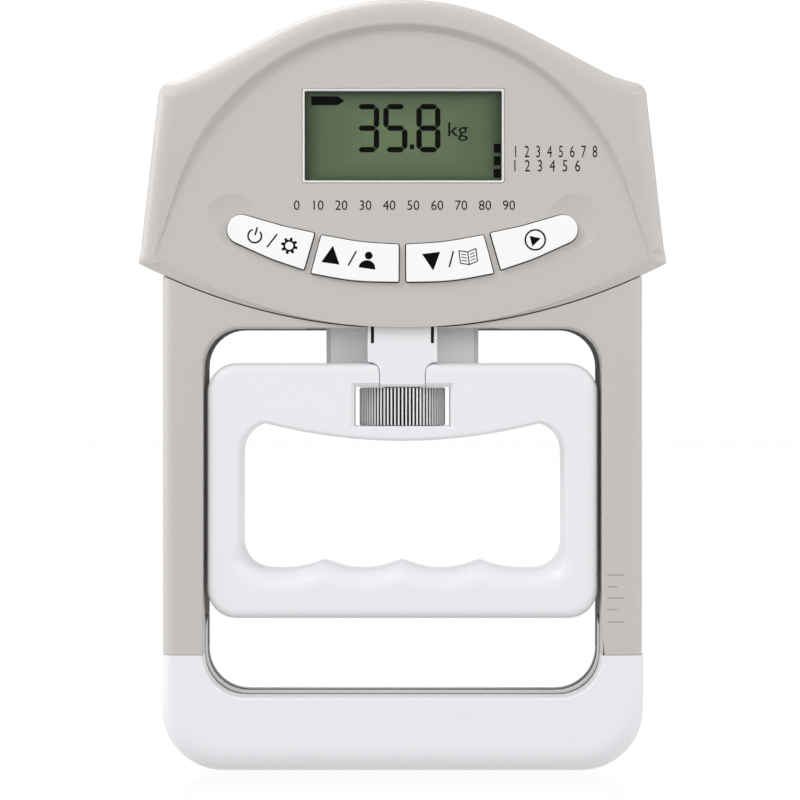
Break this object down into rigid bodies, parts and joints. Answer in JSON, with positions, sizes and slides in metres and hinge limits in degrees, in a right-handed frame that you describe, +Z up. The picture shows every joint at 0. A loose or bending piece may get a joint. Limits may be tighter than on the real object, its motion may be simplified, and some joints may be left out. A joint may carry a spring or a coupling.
{
  "type": "hand dynamometer",
  "caption": "Electronic grip strength meter: a shouldered head with a display and buttons over a loop frame, inside which a contoured handle hangs from a load cell.",
  "frame": {"origin": "middle of the base of the palm grip, at the centre of the depth", "axes": "+Z up along the frame from the palm grip to the head; the display faces -Y; +X to the right of a reader facing the display"},
  "size_m": [0.13, 0.03, 0.1902],
  "materials": {
    "warm_grey_plastic": "fine moulded texture, satin",
    "white_plastic": "smooth satin",
    "button_white": "glossy",
    "black_steel": "black powder coat",
    "liner_grey": "satin",
    "display_window": "clear, glossy",
    "display_glass": "grey-green liquid crystal",
    "black_rubber": "matt black",
    "circuit_board": "solder mask",
    "chrome": "knurled, plated",
    "brass": "turned",
    "plain_steel": "zinc plated",
    "aluminium": "milled",
    "battery_wrap": "printed film, no marks",
    "gauge_film": "polyimide film"
  },
  "bodies": {
    "frame": {"battery_1": "battery_wrap", "battery_2": "battery_wrap", "battery_contact_1": "plain_steel", "battery_contact_2": "plain_steel", "battery_lead": "black_rubber", "battery_spring_1": "plain_steel", "battery_spring_2": "plain_steel", "battery_tray": "black_rubber", "board_screw_1": "plain_steel", "board_screw_2": "plain_steel", "buzzer": "black_rubber", "case_screw_1": "plain_steel", "case_screw_2": "plain_steel", "case_screw_3": "plain_steel", "case_screw_4": "plain_steel", "cell_lead": "black_rubber", "cell_screw_left": "plain_steel", "cell_screw_right": "plain_steel", "chassis": "black_steel", "circuit_board": "circuit_board", "display_bezel": "warm_grey_plastic", "display_connector": "black_rubber", "display_panel": "display_glass", "display_window": "display_window", "front_shell": "warm_grey_plastic", "grip_screw_1": "plain_steel", "grip_screw_2": "plain_steel", "head_cover": "warm_grey_plastic", "load_cell": "aluminium", "opening_liner": "liner_grey", "palm_grip_front": "white_plastic", "palm_grip_rear": "white_plastic", "rear_shell": "warm_grey_plastic", "slot_guide": "black_rubber", "strain_gauge_left": "gauge_film", "strain_gauge_right": "gauge_film", "switch_down": "black_steel", "switch_set": "black_steel", "switch_start": "black_steel", "switch_up": "black_steel"},
    "draw_rod": {"draw_rod": "plain_steel", "rod_nut": "plain_steel"},
    "handle": {"handle_front": "white_plastic", "handle_rear": "white_plastic", "guide_carriage": "white_plastic", "thrust_washer_upper": "plain_steel", "thrust_washer_lower": "plain_steel", "handle_screw_1": "plain_steel", "handle_screw_2": "plain_steel", "handle_screw_3": "plain_steel", "handle_screw_4": "plain_steel"},
    "wheel": {"adjust_wheel": "chrome", "thread_bush": "brass"},
    "button_set": {"button_set": "button_white"},
    "button_up": {"button_up": "button_white"},
    "button_down": {"button_down": "button_white"},
    "button_start": {"button_start": "button_white"},
    "battery_door": {"battery_door": "warm_grey_plastic"}
  },
  "joints": [
    {"name": "squeeze_pull", "type": "slide", "parent": "frame", "child": "draw_rod", "axis": [0, 0, -1], "range_m": [0, 0.00025], "stiffness_N_per_m": 20000},
    {"name": "grip_span", "type": "slide", "parent": "draw_rod", "child": "handle", "axis": [0, 0, 1], "range_m": [-0.0008, 0.008]},
    {"name": "wheel_spin", "type": "hinge", "parent": "handle", "child": "wheel", "pos_m": [0, 0.0005, 0.0902], "axis": [0, 0, 1], "range_deg": [-193, 1922]},
    {"name": "button_set_press", "type": "slide", "parent": "frame", "child": "button_set", "axis": [0, 1, 0], "range_m": [0, 0.0008], "stiffness_N_per_m": 600},
    {"name": "button_up_press", "type": "slide", "parent": "frame", "child": "button_up", "axis": [0, 1, 0], "range_m": [0, 0.0008], "stiffness_N_per_m": 600},
    {"name": "button_down_press", "type": "slide", "parent": "frame", "child": "button_down", "axis": [0, 1, 0], "range_m": [0, 0.0008], "stiffness_N_per_m": 600},
    {"name": "button_start_press", "type": "slide", "parent": "frame", "child": "button_start", "axis": [0, 1, 0], "range_m": [0, 0.0008], "stiffness_N_per_m": 600},
    {"name": "door_hinge", "type": "hinge", "parent": "frame", "child": "battery_door", "pos_m": [0, 0.0145, 0.1375], "axis": [-1, 0, 0], "range_deg": [0, 75]}
  ],
  "couplings": [
    {"joint": "wheel_spin", "follows": "grip_span", "rad_per_m": 4188.8}
  ]
}
